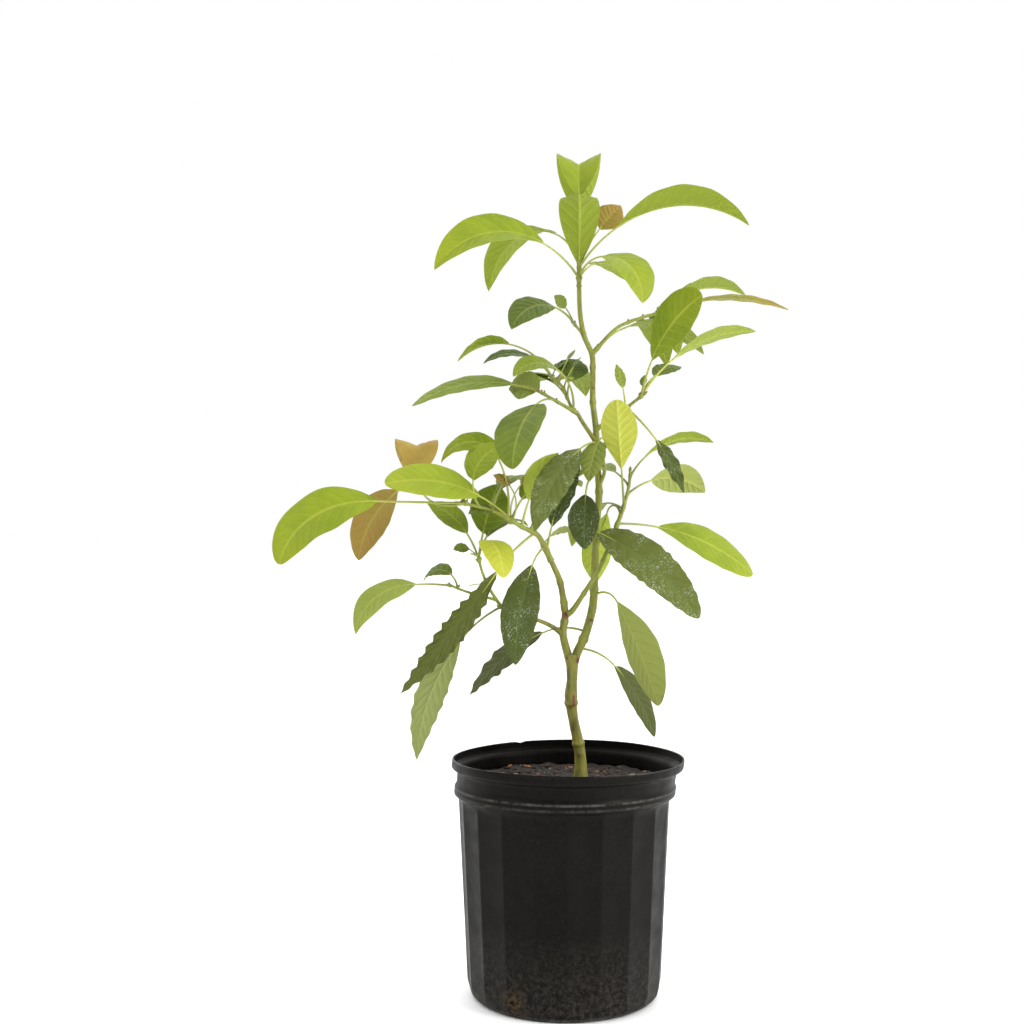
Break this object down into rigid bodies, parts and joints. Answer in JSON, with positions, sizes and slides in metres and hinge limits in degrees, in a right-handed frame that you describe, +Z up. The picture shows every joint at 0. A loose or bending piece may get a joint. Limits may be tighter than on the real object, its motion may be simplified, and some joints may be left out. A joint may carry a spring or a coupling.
{
  "type": "avocado tree in a pot",
  "caption": "Young grafted avocado tree with a forked trunk, side boughs and long drooping leaves, growing in a round fluted black nursery pot filled with bark mix.",
  "frame": {"origin": "centre of the pot's flat underside, on the pot's axis", "axes": "+Z up along the pot's axis, +X to the right as the picture shows the tree, -Y towards the viewer"},
  "size_m": [0.4915, 0.234, 0.841],
  "materials": {
    "pot_plastic": "satin black with dust",
    "potting_mix": "rough, loose bark chips",
    "bark": "green bark with brown scars",
    "leaf_young": "satin yellow-green",
    "leaf_mature": "satin deep green"
  },
  "bodies": {
    "root": {"pot": "pot_plastic", "potting_mix": "potting_mix", "trunk": "bark", "leader": "bark", "bough_left": "bark", "bough_low_right": "bark", "bough_low_left": "bark", "bough_upper_left": "bark", "bough_mid_right": "bark", "leaf_front_right": "leaf_mature", "leaf_hanging_right": "leaf_mature", "leaf_narrow_right": "leaf_mature", "leaf_low_left": "leaf_mature", "foliage_low_left": "leaf_mature", "foliage_low_right": "leaf_mature", "foliage_upper_left": "leaf_mature", "foliage_left": "leaf_young", "foliage_centre": "leaf_mature", "foliage_mid_right": "leaf_young", "foliage_high_right": "leaf_young", "foliage_high_left": "leaf_mature", "foliage_top": "leaf_young"}
  },
  "joints": []
}
